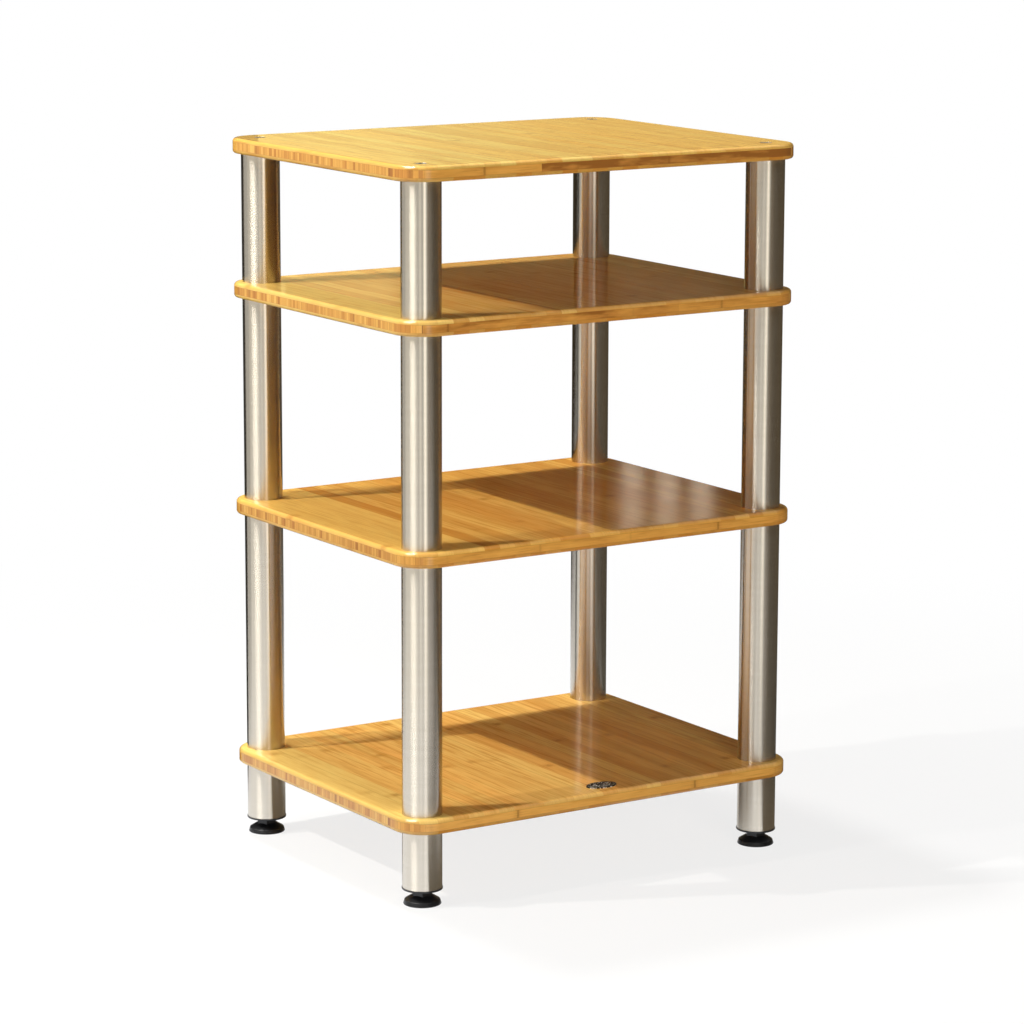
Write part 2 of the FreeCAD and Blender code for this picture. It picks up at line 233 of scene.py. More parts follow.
def add_object(name, data):
    added = bpy.data.objects.new(name, data)
    bpy.context.scene.collection.objects.link(added)
    return added


# Bamboo boards: two face plies with strips from front to back, and a core of strips from side to side

BOARD_PLY = 5
BOARD_THICKNESS = 20
FACE_STRIP_WIDTH = 22.75
FACE_STRIP_START = -261
FACE_NODE_SPACING = 236
CORE_STRIP_WIDTH = 5.6
CORE_PIECE_LENGTH = 430
CORE_NODE_SPACING = 138
FRONT_STRIP_BACK = -234
# The fibre brown also serves as painted shade on the boards' side faces and on the bottom ply's front.
FIBRE_AND_SHADE_BROWN = (0.33, 0.125, 0.022)
STREAK_ORANGE = (0.62, 0.255, 0.036)
NODE_BROWN = (0.24, 0.085, 0.016)
GLUE_BROWN = (0.30, 0.13, 0.035)
END_GRAIN_AND_SHADE_RED = (0.70, 0.28, 0.038)
FRONT_FACE_ORANGE = (0.96, 0.43, 0.080)

# The core strips' colours, from the darkest tone to the palest.
CORE_TONES = (
    (0.0, (0.29, 0.100, 0.018)),
    (0.2, (0.56, 0.235, 0.045)),
    (0.5, (0.74, 0.370, 0.072)),
    (0.8, (0.82, 0.450, 0.092)),
    (1.0, (0.93, 0.570, 0.135)),
)

Board = namedtuple("Board", "seed pale deep pale_strips deep_strips front_joint front_left front_right")

# Each board's seed, the two tones of its face strips, how many strips from its left edge are the palest,
# how many from its right edge are painted deepest, partly as painted shade, where its front core strip is
# joined, and that strip's tone to the left and to the right of the joint.
BOARDS = {
    "top_shelf": Board(11, (0.88, 0.71, 0.200), (0.91, 0.545, 0.117), 0, 11, -110, 0.62, 0.0),
    "upper_shelf": Board(23, (1.0, 0.70, 0.190), (0.82, 0.460, 0.115), 2, 17, 100, 0.22, 0.40),
    "lower_shelf": Board(37, (1.0, 0.62, 0.147), (0.79, 0.365, 0.064), 4, 0, 400, 0.60, 0.60),
    "base_shelf": Board(51, (1.0, 0.70, 0.200), (1.0, 0.535, 0.133), 2, 0, 400, 1.0, 1.0),
}


def face_ply_colour(finish, place, height, facing, board):
    """Colour and relief of the face plies' strips."""
    x, y, _ = finish.parts(place)
    waver = finish.noise(place, (400, 60, 400)) - 0.5
    strip_place = (x - FACE_STRIP_START + waver * 0.8) / FACE_STRIP_WIDTH
    strip = strip_place.floor()
    across = strip_place - strip
    from_joint = across.least(1 - across) * FACE_STRIP_WIDTH
    ply = height > BOARD_THICKNESS / 2
    key = strip + ply * 100 + board.seed * 7
    in_strip = finish.vector(x, y, key * 60)

    last_strip = 2 * -FACE_STRIP_START // FACE_STRIP_WIDTH
    tone = finish.chance(key, board.seed, 1)
    clouds = finish.noise(in_strip, (50, 260, 50), 2)
    palest = (strip < board.pale_strips - 1.5) * (1 if board.pale_strips else 0)
    # The strips toward the right edge are painted deeper: partly the board's tone, partly painted shade and a
    # painted darker reflection on the shelf's right part.
    deepest_shaded = strip > last_strip - board.deep_strips + 0.5
    blend = tone * 0.6 + clouds * 0.7 - 0.2 + palest * 0.75 - deepest_shaded * 0.30
    colour = finish.mix(blend.most(0).least(1), board.deep, board.pale)
    dark_strip = finish.chance(key, board.seed, 12).fade(0.25, 1)
    colour = finish.mix(dark_strip * (1 - palest) * 0.40, colour, STREAK_ORANGE)

    fibres = finish.noise(in_strip, (0.9, 30, 0.9), 3)
    streaks = finish.noise(in_strip, (3.6, 90, 3.6), 2)
    broad = finish.noise(in_strip, (9.0, 210, 9.0), 2)
    colour = finish.mix(fibres.fade(0.42, 0.72) * 0.24, colour, STREAK_ORANGE)
    sideways, endways, _ = facing
    clean = (1 - palest * 0.6) * (1 - endways * 0.8)
    colour = finish.mix(streaks.fade(0.46, 0.70) * clean * 0.52, colour, STREAK_ORANGE)
    colour = finish.mix(broad.fade(0.48, 0.70) * clean * 0.36, colour, STREAK_ORANGE)

    joint_shows = finish.chance((strip_place + 0.5).floor(), board.seed, 2).fade(0.35, 1)
    joint = from_joint.fade(0.6, 0.1) * joint_shows
    colour = finish.mix(joint * (0.5 - endways * 0.38), colour, FIBRE_AND_SHADE_BROWN)

    node_place = y / FACE_NODE_SPACING + finish.chance(key, board.seed, 3) * 9
    node_number = node_place.nearest()
    ragged = finish.noise(place, (4, 7, 4), 3) - 0.5
    from_node = abs((node_place - node_number) * FACE_NODE_SPACING + ragged * 10)
    bold = finish.chance(key, node_number, board.seed + 4)
    off_centre = abs(across - 0.25 - finish.chance(key, node_number, board.seed + 5) * 0.5)
    spot = from_node.fade(9, 0.5) * (off_centre + ragged * 0.3).fade(0.36, 0.05)
    band = from_node.fade(14, 2)
    colour = finish.mix(band * bold.fade(0.2, 1) * 0.30, colour, STREAK_ORANGE)
    colour = finish.mix(spot * bold.fade(0.5, 1) * 0.42, colour, FIBRE_AND_SHADE_BROWN)

    dark_end = finish.chance(key, board.seed, 8).fade(0.45, 0.85)
    # The face strips' ends on the front faces are tinted red; the bottom ply's front is painted much redder
    # and darker as painted shade under the board's edge.
    colour = finish.mix(endways * (0.55 - ply * 0.50 + dark_end * 0.4), colour, END_GRAIN_AND_SHADE_RED)
    colour = finish.mix(endways * (1 - ply) * 0.26, colour, FIBRE_AND_SHADE_BROWN)
    # The side faces are painted darker: partly the strips' edge grain, partly painted shade that holds back
    # the lamps' light there.
    colour = finish.mix(sideways * 0.40, colour, FIBRE_AND_SHADE_BROWN)
    return colour, fibres + streaks * 0.6 - joint * 1.2


def core_ply_colour(finish, place, facing, board):
    """Colour and relief of the core's strips: their ends show at the sides, their length in front."""
    x, y, _ = finish.parts(place)
    strip_place = y / CORE_STRIP_WIDTH + finish.noise(place, (900, 14, 900)) * 1.4 + board.seed * 3.7
    strip = strip_place.floor()
    across = strip_place - strip
    piece_place = x / CORE_PIECE_LENGTH + finish.chance(strip, board.seed, 5) * 11
    piece = piece_place.floor()
    end = piece_place - piece
    drift = finish.noise(finish.vector(0, y, board.seed * 31), (1, 30, 1), 2)
    lean = across - 0.5
    tone = finish.chance(strip, piece, board.seed + 6) * 0.75 + drift * 0.8 - 0.22
    tone = tone + lean * (finish.chance(strip, board.seed, 7) - 0.5) * 0.5
    front = y < FRONT_STRIP_BACK
    front_tone = board.front_left + (x > board.front_joint) * (board.front_right - board.front_left)
    front_tone = front_tone + (finish.noise(place, (60, 40, 12), 3) - 0.5) * 1.7
    tone = (tone + front * (front_tone - tone)).most(0).least(1)
    colour = finish.ramp(tone, *CORE_TONES)
    lines = finish.noise(finish.vector(x, y, 0), (240, 1.5, 1), 2)
    fibres = finish.noise(place, (60, 0.9, 0.9), 3)
    colour = finish.mix(lines.fade(0.46, 0.72) * 0.34, colour, FIBRE_AND_SHADE_BROWN)
    colour = finish.mix(fibres.fade(0.45, 0.75) * 0.22, colour, FIBRE_AND_SHADE_BROWN)
    streaks = finish.noise(place, (36, 40, 1.3), 4, 0.6)
    colour = finish.mix(front * streaks.fade(0.44, 0.68) * 0.44, colour, FIBRE_AND_SHADE_BROWN)
    sideways, endways, _ = facing
    # The core's front faces are tinted orange, more on its paler strips.
    colour = finish.mix(endways * (0.08 + tone * 0.42), colour, FRONT_FACE_ORANGE)
    # The core's side faces are painted darker: partly its end grain, partly painted shade that holds back the
    # lamps' light there.
    colour = finish.mix(sideways * 0.18, colour, FIBRE_AND_SHADE_BROWN)

    node_place = x / CORE_NODE_SPACING + finish.chance(strip * (1 - front), board.seed, 9) * 5
    ragged = finish.noise(place, (2, 2, 3), 3) - 0.5
    from_node = abs((node_place - node_place.nearest()) * CORE_NODE_SPACING + ragged * 2.4)
    node_shows = finish.chance(node_place.nearest(), strip * (1 - front), board.seed + 10).fade(0.1, 0.8)
    colour = finish.mix(from_node.fade(2.6, 0.4) * node_shows * 0.50, colour, NODE_BROWN)
    colour = finish.mix(from_node.fade(9, 1) * node_shows * 0.16, colour, FIBRE_AND_SHADE_BROWN)
    seam = (across.least(1 - across) * CORE_STRIP_WIDTH).fade(0.35, 0.05) * (1 - front)
    butt = (end.least(1 - end) * CORE_PIECE_LENGTH).fade(0.7, 0.2) * (1 - front)
    line = seam.most(butt)
    colour = finish.mix(line * 0.5, colour, FIBRE_AND_SHADE_BROWN)
    return colour, fibres + lines * 0.5 - line


def bamboo(name):
    board = BOARDS[name]
    material, finish = new_finish(f"lacquered_bamboo_{name}")
    low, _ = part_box(name)
    place = finish.place((0, 0, low.z))
    height = finish.parts(place)[2]
    facing = [abs(part) for part in finish.parts(finish.node("ShaderNodeNewGeometry").outputs["Normal"])]
    from_core = abs(height - BOARD_THICKNESS / 2)
    core = from_core < BOARD_THICKNESS / 2 - BOARD_PLY
    face_colour, face_relief = face_ply_colour(finish, place, height, facing, board)
    core_colour, core_relief = core_ply_colour(finish, place, facing, board)
    colour = finish.mix(core, face_colour, core_colour)
    glue = abs(from_core - (BOARD_THICKNESS / 2 - BOARD_PLY)).fade(0.35, 0.08)
    colour = finish.mix(glue * 0.4, colour, GLUE_BROWN)
    relief = face_relief + core * (core_relief - face_relief) - glue
    wear = finish.noise(place, (55, 90, 55), 4)
    finish.surface({
        "Base Color": colour,
        "Roughness": 0.05 + wear * 0.06,
        "IOR": 1.46,
        "Normal": finish.bump(relief, 0.05, 0.13),
    })
    return material


# Brushed stainless tubes

STAINLESS_DULL, STAINLESS_BRIGHT = (0.675, 0.620, 0.525), (0.715, 0.660, 0.565)


def brushed_stainless():
    """Steel brushed round the tube: fine lines round it, and a gloss drawn out along it."""
    material, finish = new_finish("brushed_stainless_tube")
    place = finish.place()
    brushing = finish.noise(place, (40, 40, 0.5), 3, 0.6)
    bands = finish.noise(place, (90, 90, 3.5), 3)
    clouds = finish.noise(place, (45, 45, 70), 2)
    shade = (brushing * 0.5 + bands * 0.5).fade(0.3, 0.7)
    colour = finish.mix(shade, STAINLESS_DULL, STAINLESS_BRIGHT)
    finish.surface({
        "Base Color": colour,
        "Metallic": 1.0,
        "Roughness": 0.262 + brushing * 0.006 + clouds * 0.004,
        "Anisotropic": 1.0,
        "Anisotropic Rotation": 0.25,
    })
    return material


# Black moulded plastic of the feet

PLASTIC_BLACK = (0.0085, 0.0090, 0.0105)
PLASTIC_SCUFF = (0.030, 0.031, 0.033)
PLASTIC_DUST = (0.040, 0.039, 0.036)


def black_plastic():
    material, finish = new_finish("black_moulded_plastic")
    place = finish.place()
    grain = finish.noise(place, (0.5, 0.5, 0.5), 3, 0.6)
    scuffs = finish.noise(place, (6, 6, 1.5), 4, 0.7)
    dust = finish.noise(place, (12, 12, 12), 3)
    colour = finish.mix(scuffs.fade(0.55, 0.8) * 0.5, PLASTIC_BLACK, PLASTIC_SCUFF)
    colour = finish.mix(dust.fade(0.55, 0.85) * 0.25, colour, PLASTIC_DUST)
    finish.surface({
        "Base Color": colour,
        "Roughness": 0.3 + grain * 0.12 + scuffs.fade(0.5, 0.8) * 0.14,
        "IOR": 1.5,
        "Normal": finish.bump(grain + scuffs * 0.4, 0.03, 0.2),
    })
    return material


# Steel of the bolts, the foot stems and the hidden fasteners

STEM_PITCH = 1.5
BOLT_DARK, BOLT_PALE = (0.27, 0.25, 0.215), (0.44, 0.42, 0.375)
ZINC_DULL, ZINC_BRIGHT = (0.47, 0.475, 0.47), (0.62, 0.63, 0.635)
THREAD_ROOT_SHADE = (0.16, 0.155, 0.15)


def bolt_steel():
    material, finish = new_finish("bolt_steel")
    place = finish.place()
    turning = finish.noise(place, (0.35, 0.35, 0.35), 3, 0.6)
    stain = finish.noise(place, (5, 5, 5), 3)
    colour = finish.mix(stain.fade(0.3, 0.75), BOLT_DARK, BOLT_PALE)
    finish.surface({
        "Base Color": colour,
        "Metallic": 1.0,
        "Roughness": 0.26 + turning * 0.14 + stain * 0.08,
        "Normal": finish.bump(turning, 0.02, 0.2),
    })
    return material


def zinc_steel(name, axis=None, pitch=None):
    """Zinc-plated steel, with a thread's turns round an axis where a pitch is given."""
    material, finish = new_finish(name)
    place = finish.place(axis or (0, 0, 0))
    spangle = finish.noise(place, (2.2, 2.2, 2.2), 3)
    grit = finish.noise(place, (0.4, 0.4, 0.4), 2)
    colour = finish.mix(spangle.fade(0.35, 0.7), ZINC_DULL, ZINC_BRIGHT)
    relief, depth, strength = grit * 0.1, 0.05, 0.2
    if pitch:
        x, y, z = finish.parts(place)
        turn = y.math("ARCTAN2", x) / math.tau
        thread = z / pitch + turn
        crest = abs(thread - thread.nearest()) * 2
        relief, depth, strength = relief + crest, 0.9, 0.9
        # The thread's roots are painted darker, as painted shade in the grooves.
        colour = finish.mix(crest.fade(0.35, 0.05) * 0.6, colour, THREAD_ROOT_SHADE)
    finish.surface({
        "Base Color": colour,
        "Metallic": 1.0,
        "Roughness": 0.3 + spangle * 0.14,
        "Normal": finish.bump(relief, depth, strength),
    })
    return material


# Bare oval plate set on the base shelf

PLATE_CENTRE = Vector((0.0046, -0.212))
PLATE_LENGTH, PLATE_WIDTH, PLATE_HEIGHT = 0.0440, 0.0262, 0.0016
PLATE_RIM, PLATE_SINK, PLATE_ROUND = 0.0019, 0.0005, 0.00045
PLATE_SIDES, ROUND_STEPS = 72, 3
TOUCHING = 1e-6
PLATE_DARK, PLATE_PATINA = (0.010, 0.009, 0.008), (0.036, 0.034, 0.030)
PLATE_RIM_TONE, PLATE_PAINTED_GLINT = (0.055, 0.052, 0.047), (0.84, 0.83, 0.78)


def dark_plate():
    material, finish = new_finish("dark_plate_metal")
    place = finish.place()
    stipple = finish.noise(place, (0.8, 0.8, 0.8), 3, 0.6)
    patina = finish.noise(place, (4.5, 4.5, 4.5), 3)
    hammered = finish.noise(place, (2.6, 2.6, 2.6), 1)
    top_z = finish.parts(place)[2]
    field_top = (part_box("base_shelf")[1].z + PLATE_HEIGHT - PLATE_SINK) / MM
    rim = top_z.fade(field_top + 0.1, field_top + 0.4)
    field = finish.mix(patina.fade(0.35, 0.7), PLATE_DARK, PLATE_PATINA)
    # The hammering's high spots are painted pale and matt, as painted glints.
    glint_spots = hammered.fade(0.555, 0.605) * (1 - rim)
    field = finish.mix(rim, field, PLATE_RIM_TONE)
    colour = finish.mix(glint_spots, field, PLATE_PAINTED_GLINT)
    finish.surface({
        "Base Color": colour,
        "Metallic": 1 - glint_spots,
        "Roughness": 0.34 - rim * 0.1 + stipple * 0.14,
        "Normal": finish.bump((stipple * 0.4 + hammered) * (1 - rim), 0.5, 0.6),
    })
    return material


def make_oval_plate():
    """An oval plate with a rounded raised rim and a sunk bare field, set on the base shelf's top."""
    made = bmesh.new()
    bmesh.ops.create_circle(made, cap_ends=True, segments=PLATE_SIDES, radius=0.5)
    bmesh.ops.scale(made, vec=(PLATE_LENGTH, PLATE_WIDTH, 1), verts=made.verts)
    foot = list(made.faces)
    raised = bmesh.ops.extrude_face_region(made, geom=foot, use_keep_orig=True)["geom"]
    moved = [v for v in raised if isinstance(v, bmesh.types.BMVert)]
    bmesh.ops.translate(made, vec=(0, 0, PLATE_HEIGHT), verts=moved)
    top = [f for f in raised if isinstance(f, bmesh.types.BMFace)]
    bmesh.ops.inset_region(made, faces=top, thickness=PLATE_RIM, use_even_offset=True)
    bmesh.ops.inset_region(made, faces=top, thickness=PLATE_SINK, depth=-PLATE_SINK, use_even_offset=True)
    bmesh.ops.recalc_face_normals(made, faces=made.faces)
    rims = [
        e for e in made.edges
        if all(v.co.z > PLATE_HEIGHT - TOUCHING for v in e.verts)
        and len({f.normal.z > 0.9 for f in e.link_faces}) > 1
    ]
    bmesh.ops.bevel(
        made, geom=rims, offset=PLATE_ROUND, offset_type="OFFSET", segments=ROUND_STEPS,
        profile=0.5, affect="EDGES", material=-1, clamp_overlap=True,
    )
    shelf_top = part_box("base_shelf")[1].z
    bmesh.ops.translate(made, vec=(*PLATE_CENTRE, shelf_top), verts=made.verts)
    for face in made.faces:
        face.smooth = True
    mesh = to_mesh(made, "oval_plate")
    plate = add_object("oval_plate", mesh)
    mesh.materials.append(dark_plate())
    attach(plate, "frame")


# Stage: floor, reflected surroundings, lights and camera

WHITE, BLACK = (1, 1, 1), (0, 0, 0)

CAMERA_PLACE = Vector((-2.6895, -4.1764, 1.4023))
CAMERA_AZIMUTH, CAMERA_ELEVATION, CAMERA_ROLL = (math.radians(a) for a in (-32.801, 10.899, 0.150))
CAMERA_SENSOR, IMAGE_SIZE, FOCAL_PIXELS = 36.0, 1024, 3809
CAMERA_BEARING = math.atan2(CAMERA_PLACE.y, CAMERA_PLACE.x)

KEY_PLACE, KEY_AIM = Vector((-2.49, 0.735, 2.70)), Vector((0, 0, 0.47))
KEY_TINT, FILL_TINT = (1.0, 0.975, 0.93), (1.0, 0.945, 0.87)
Lamp = namedtuple("Lamp", "name place size watts tint in_gloss")

# Each lamp's place and width in metres, its power and tint, and whether glossy surfaces reflect it.
LAMPS = (
    Lamp("key_lamp", KEY_PLACE, 0.05, 75, KEY_TINT, False),
    Lamp("side_lamp", Vector((-2.49, -0.02, 2.70)), 0.05, 28, KEY_TINT, False),
    Lamp("key_softener", KEY_PLACE, 1.2, 12, KEY_TINT, False),
    Lamp("overhead_lamp", Vector((-0.34, 1.4, 5.5)), 0.5, 168, WHITE, True),
    Lamp("front_fill", Vector((-0.67, -3.94, 1.25)), 1.4, 68, FILL_TINT, False),
)

Panel = namedtuple("Panel", "name place aim size glow lights")

# Each panel's place, what it is turned to, its size in metres, its glow, and whether matt surfaces get
# its light.
PANELS = (
    Panel("near_card", Vector((-0.80, 0.60, 0.70)), Vector((-0.80, 0, 0.70)), (0.60, 1.40), 0.55, True),
    Panel("dark_card", Vector((-0.24, 0.5, 0.55)), Vector((-0.24, 0, 0.55)), (0.28, 1.1), 0.05, False),
    Panel("high_box", Vector((-1.85, 1.13, 5.4)), KEY_AIM, (2.8, 1.6), 22, False),
    Panel("side_box", Vector((-3.9, -0.1, 4.8)), KEY_AIM, (2.7, 3.4), 14.5, False),
)

FLOOR_RADIUS, ROUND_SIDES = 60, 96
FLOOR_SEEN, FLOOR_UNSEEN, FLOOR_DARK = (0.84, 0.84, 0.83), (0.40, 0.40, 0.39), (0.03, 0.025, 0.02)
FLOOR_GLOW, FLOOR_DARKENING = (1.25, 1.27, 1.33), 0.75
FLOOR_WHITENESS, FLOOR_WHITE_SPREAD, FLOOR_BRIGHT_SPREAD = 0.8, (500, 2000), (120, 380)
FLOOR_DARK_ASIDE, FLOOR_DARK_SPREAD, FLOOR_DARK_AHEAD = (0, 220), (430, 580), (850, 400)
WORLD_TINT, WORLD_LIGHT = (1.0, 0.985, 0.96), 0.15

SCREEN_FOOT, SCREEN_REACH, SCREEN_HEAD, SCREEN_LIFT = 1.3, 25.0, 20.0, 0.001
SCREEN_LIGHT, SCREEN_DIMMING, SCREEN_DIM_HEIGHTS = 2.1, 0.85, (1200, 4500)
BEHIND_BEARINGS, LEFTWARD, FAR_LEFT = (130, 158), (900, -900), (-600, -1100)
PALE, DUSK = (1.0, 0.965, 0.89), (1.0, 0.80, 0.56)
LEFT_GLOW, RIGHT_GLOW, PANE_GLOW = (0.30, 0.25, 0.105), (0.26, 0.175, 0.060), (0.48, 0.42, 0.33)
GLOW_FOOT, GLOW_HEAD, GLOW_DROP = (1800, 2400), (3850, 3400), 900
PANE_BEARINGS, PANE_EDGE = (177.77, 177.13, 176.50), (0.25, 0.13)
PANE_FOOT, PANE_HEAD = (4600, 4750), (5700, 5550)
LEG_SHADE_DARK = (0.075, 0.062, 0.045)
LEG_SHADE_CORNERS, LEG_SHADE_NEAR, LEG_SHADE_FAR = ("front_left", "front_right", "rear_left"), 0.03, 0.33
LEG_SHADE_START, LEG_SHADE_SWEEP, LEG_SHADE_HEIGHT = CAMERA_BEARING + math.radians(34), math.radians(150), 0.0008
LEG_SHADE_STEPS = 48

# The shade sheet's place and corners in metres, how dark it is at its foot, and what darkness it gains between
# two heights; it is painted shade in the right tubes' reflections.
SHADE_SHEET_PLACE, SHADE_SHEET_HALF_DEPTH = -0.24, 0.177
SHADE_SHEET_CORNERS = ((-1, 0.12), (1, 0.12), (1, 0.92), (-1, 0.92))
SHADE_SHEET_FOOT, SHADE_SHEET_GAINS = 0.12, ((350, 550, 0.22), (680, 800, 0.24))

# Brightness of the screens by their bearing from the camera's side, in degrees, and their tint.
SCREENS = (
    (-180, 0.03, DUSK), (-104, 0.05, DUSK), (-96, 0.86, PALE), (-62, 0.90, PALE), (-46, 0.94, PALE),
    (-38, 0.88, PALE), (-32, 0.82, PALE), (-23, 0.76, PALE), (-14, 0.66, PALE), (-8, 1.12, PALE),
    (-2, 1.12, PALE), (3, 0.64, PALE), (11, 0.74, PALE), (14, 2.10, PALE), (24, 2.10, PALE),
    (28, 0.60, PALE), (36, 0.26, DUSK), (52, 0.18, DUSK), (72, 0.13, DUSK), (110, 0.14, DUSK),
    (135, 0.10, DUSK), (180, 0.05, DUSK),
)


def direct_rays(finish):
    """1 for camera rays, and 1 for glossy or transmission rays."""
    path = finish.node("ShaderNodeLightPath").outputs
    camera, glossy, through = (
        Value(finish, path[name]) for name in ("Is Camera Ray", "Is Glossy Ray", "Is Transmission Ray")
    )
    return camera, glossy.most(through)


def from_camera_side(finish):
    """Millimetres from the middle towards the camera's side, and to the right as the camera sees it."""
    x, y, _ = finish.parts(finish.place())
    turn = Matrix.Rotation(-CAMERA_BEARING, 2)
    return [x * row[0] + y * row[1] for row in turn]


def make_floor():
    made = bmesh.new()
    bmesh.ops.create_circle(made, cap_ends=True, segments=ROUND_SIDES, radius=FLOOR_RADIUS)
    mesh = to_mesh(made, "studio_floor")
    floor = add_object("studio_floor", mesh)
    material, finish = new_finish("pale_floor")
    camera, mirrored = direct_rays(finish)
    white = finish.glow(finish.mix(mirrored, WHITE, FLOOR_GLOW), 1.0)
    spread = finish.length(finish.place())
    ahead, aside = from_camera_side(finish)
    # For reflections, the floor to the camera's right ahead of the rack is painted dark: painted shade of the
    # floor there.
    dark_side = aside.fade(*FLOOR_DARK_ASIDE) * spread.fade(*FLOOR_DARK_SPREAD) * ahead.fade(*FLOOR_DARK_AHEAD)
    bright = spread.fade(*FLOOR_BRIGHT_SPREAD) * (1 - dark_side)
    tint = finish.mix(camera, FLOOR_UNSEEN, FLOOR_SEEN)
    tint = finish.mix(mirrored * dark_side * FLOOR_DARKENING, tint, FLOOR_DARK)
    paint = finish.node("ShaderNodeBsdfDiffuse", None, {"Color": tint})
    whiteness = FLOOR_WHITENESS + spread.fade(*FLOOR_WHITE_SPREAD) * (1 - FLOOR_WHITENESS)
    share = camera * whiteness + mirrored * bright
    both = finish.node("ShaderNodeMixShader", None, {0: share, 1: paint.outputs[0], 2: white.outputs[0]})
    finish.show(both)
    mesh.materials.append(material)


def make_world():
    world = bpy.data.worlds.new("studio")
    bpy.context.scene.world = world
    world.use_nodes = True
    finish = Finish(world.node_tree)
    soft, white = (
        finish.node("ShaderNodeBackground", None, {"Color": (*tint, 1), "Strength": strength})
        for tint, strength in ((WORLD_TINT, WORLD_LIGHT), (WHITE, 1.0))
    )
    camera, mirrored = direct_rays(finish)
    both = finish.node(
        "ShaderNodeMixShader", None, {0: camera.most(mirrored), 1: soft.outputs[0], 2: white.outputs[0]}
    )
    finish.node("ShaderNodeOutputWorld", None, {"Surface": both.outputs[0]})


def show_in_gloss(mesh, material, lights=False):
    """Adds a mesh to the stage that glossy surfaces reflect, and that lights the others only if told to."""
    mesh.materials.append(material)
    screen = add_object(mesh.name, mesh)
    screen.visible_camera = False
    screen.visible_diffuse = lights
    screen.visible_shadow = False
    screen.visible_transmission = False


def make_surround():
    """A wide ring of pale and dark screens, and dark fans on the floor by the legs, seen only in reflections;
    the fans are painted shade of the floor there.
    """
    made = bmesh.new()
    profile = ((SCREEN_FOOT, 0, SCREEN_LIFT), (SCREEN_REACH, 0, SCREEN_LIFT), (SCREEN_REACH, 0, SCREEN_HEAD))
    screen = [made.verts.new(place) for place in profile]
    edges = [made.edges.new(pair) for pair in zip(screen, screen[1:])]
    bmesh.ops.spin(
        made, geom=screen + edges, axis=(0, 0, 1), angle=math.tau, steps=ROUND_SIDES, use_merge=True
    )
    for corner in LEG_SHADE_CORNERS:
        low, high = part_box(f"leg_tube_{corner}")
        middle = (low + high) / 2
        middle.z = LEG_SHADE_HEIGHT
        shade_fan = [made.verts.new((reach, 0, 0)) for reach in (LEG_SHADE_NEAR, LEG_SHADE_FAR)]
        edge = made.edges.new(shade_fan)
        bmesh.ops.rotate(made, matrix=Matrix.Rotation(LEG_SHADE_START, 3, "Z"), verts=shade_fan)
        bmesh.ops.translate(made, vec=middle, verts=shade_fan)
        bmesh.ops.spin(
            made, geom=shade_fan + [edge], cent=middle, axis=(0, 0, 1), angle=LEG_SHADE_SWEEP, steps=LEG_SHADE_STEPS
        )
    mesh = to_mesh(made, "studio_surround")
    material, finish = new_finish("surround_screens")
    place = finish.place()
    height = finish.parts(place)[2]
    ahead, aside = from_camera_side(finish)
    bearing = aside.math("ARCTAN2", ahead) * (180 / math.pi)
    stops = []
    for angle, level, tint in SCREENS:
        stops.append((0.5 + angle / 360, tuple(level / SCREEN_LIGHT * share for share in tint)))
    colour = finish.ramp(bearing / 360 + 0.5, *stops)
    behind = abs(bearing).fade(*BEHIND_BEARINGS)
    dimming = height.fade(*SCREEN_DIM_HEIGHTS) * (1 - behind) * SCREEN_DIMMING
    colour = finish.mix(dimming, colour, BLACK)
    leftward = aside.fade(*LEFTWARD)
    far_left = aside.fade(*FAR_LEFT)
    band = height.fade(*GLOW_FOOT) * (height - far_left * GLOW_DROP).fade(*GLOW_HEAD)
    colour = finish.mix(behind * band, colour, finish.mix(leftward, RIGHT_GLOW, LEFT_GLOW))
    pane = sum(abs(bearing - middle).fade(*PANE_EDGE) for middle in PANE_BEARINGS)
    colour = finish.mix(pane * height.fade(*PANE_FOOT) * height.fade(*PANE_HEAD), colour, PANE_GLOW)
    # Inside the ring's foot lie only the fans by the legs: painted shade of the floor, seen in the tubes'
    # reflections.
    colour = finish.mix(finish.length(place) < SCREEN_FOOT / MM, colour, LEG_SHADE_DARK)
    finish.show(finish.glow(colour, SCREEN_LIGHT))
    show_in_gloss(mesh, material)


def make_panel(panel):
    """A glowing panel turned to its aim, to be seen in reflections."""
    made = bmesh.new()
    bmesh.ops.create_grid(made, x_segments=1, y_segments=1, size=0.5)
    bmesh.ops.scale(made, vec=(*panel.size, 1), verts=made.verts)
    turn = (panel.aim - panel.place).to_track_quat("-Z", "Y").to_matrix()
    bmesh.ops.rotate(made, matrix=turn, verts=made.verts)
    bmesh.ops.translate(made, vec=panel.place, verts=made.verts)
    mesh = to_mesh(made, panel.name)
    material, finish = new_finish(f"{panel.name}_glow")
    finish.show(finish.glow((*KEY_TINT, 1), panel.glow))
    show_in_gloss(mesh, material, panel.lights)


def make_reflection_shade_sheet():
    """A dark sheet in the left opening, darker at the top, that only dims what the right tubes reflect:
    painted shade in their reflections.
    """
    made = bmesh.new()
    corners = [(SHADE_SHEET_PLACE, side * SHADE_SHEET_HALF_DEPTH, height) for side, height in SHADE_SHEET_CORNERS]
    made.faces.new([made.verts.new(corner) for corner in corners])
    mesh = to_mesh(made, "left_reflection_shade")
    material, finish = new_finish("reflection_shade_sheet")
    height = finish.parts(finish.place())[2]
    black = finish.glow((*BLACK, 1), 0.0)
    clear = finish.node("ShaderNodeBsdfTransparent")
    darkness = SHADE_SHEET_FOOT + sum(height.fade(start, end) * gain for start, end, gain in SHADE_SHEET_GAINS)
    both = finish.node("ShaderNodeMixShader", None, {0: darkness, 1: clear.outputs[0], 2: black.outputs[0]})
    finish.show(both)
    show_in_gloss(mesh, material)


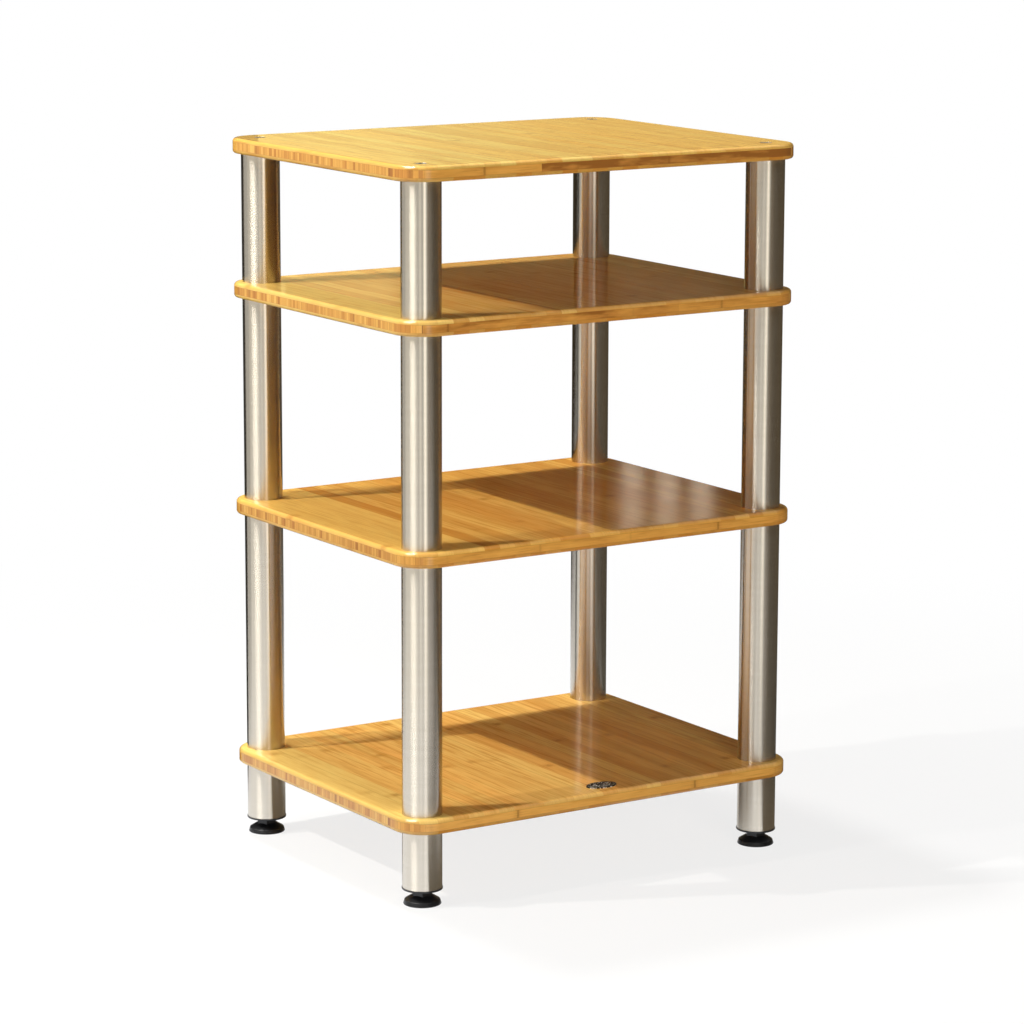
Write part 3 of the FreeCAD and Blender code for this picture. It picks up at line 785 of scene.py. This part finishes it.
def make_lamp(lamp):
    light = bpy.data.lights.new(lamp.name, "AREA")
    light.shape = "DISK"
    light.size = lamp.size
    light.energy = lamp.watts
    light.color = lamp.tint
    holder = add_object(lamp.name, light)
    holder.location = lamp.place
    holder.rotation_mode = "QUATERNION"
    holder.rotation_quaternion = (KEY_AIM - lamp.place).to_track_quat("-Z", "Y")
    holder.visible_camera = False
    holder.visible_glossy = lamp.in_gloss


def make_camera():
    back = Vector((
        math.sin(CAMERA_AZIMUTH) * math.cos(CAMERA_ELEVATION),
        -math.cos(CAMERA_AZIMUTH) * math.cos(CAMERA_ELEVATION),
        math.sin(CAMERA_ELEVATION),
    ))
    level = Vector((0, 0, 1)).cross(back).normalized()
    upright = back.cross(level)
    right = level * math.cos(CAMERA_ROLL) + upright * math.sin(CAMERA_ROLL)
    turn = Matrix((right, back.cross(right), back)).transposed()
    lens = bpy.data.cameras.new("photo_camera")
    lens.sensor_width = CAMERA_SENSOR
    lens.lens = FOCAL_PIXELS * CAMERA_SENSOR / IMAGE_SIZE
    camera = add_object("photo_camera", lens)
    camera.matrix_world = Matrix.Translation(CAMERA_PLACE) @ turn.to_4x4()
    bpy.context.scene.camera = camera


for shelf in SHELVES:
    dress([shelf], bamboo(shelf))
dress([f"{tier}_tube_{corner}" for tier in TIERS for corner in CORNERS], brushed_stainless())
dress([f"foot_{piece}_{corner}" for piece in ("plug", "pad") for corner in CORNERS], black_plastic())
dress(["top_shelf_bolts"], bolt_steel())
hidden = [name for name in nodes if name.endswith(("_inserts", "_studs")) or name == "foot_nuts"]
dress(hidden, zinc_steel("zinc_plated_steel"))
for corner in CORNERS:
    stem = f"foot_stem_{corner}"
    low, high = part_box(stem)
    middle = (low + high) / 2
    dress([stem], zinc_steel(f"zinc_plated_thread_{corner}", (middle.x, middle.y, low.z), STEM_PITCH))
make_oval_plate()
make_floor()
make_world()
make_surround()
for panel in PANELS:
    make_panel(panel)
make_reflection_shade_sheet()
for lamp in LAMPS:
    make_lamp(lamp)
make_camera()
bpy.context.scene.view_settings.view_transform = "Standard"
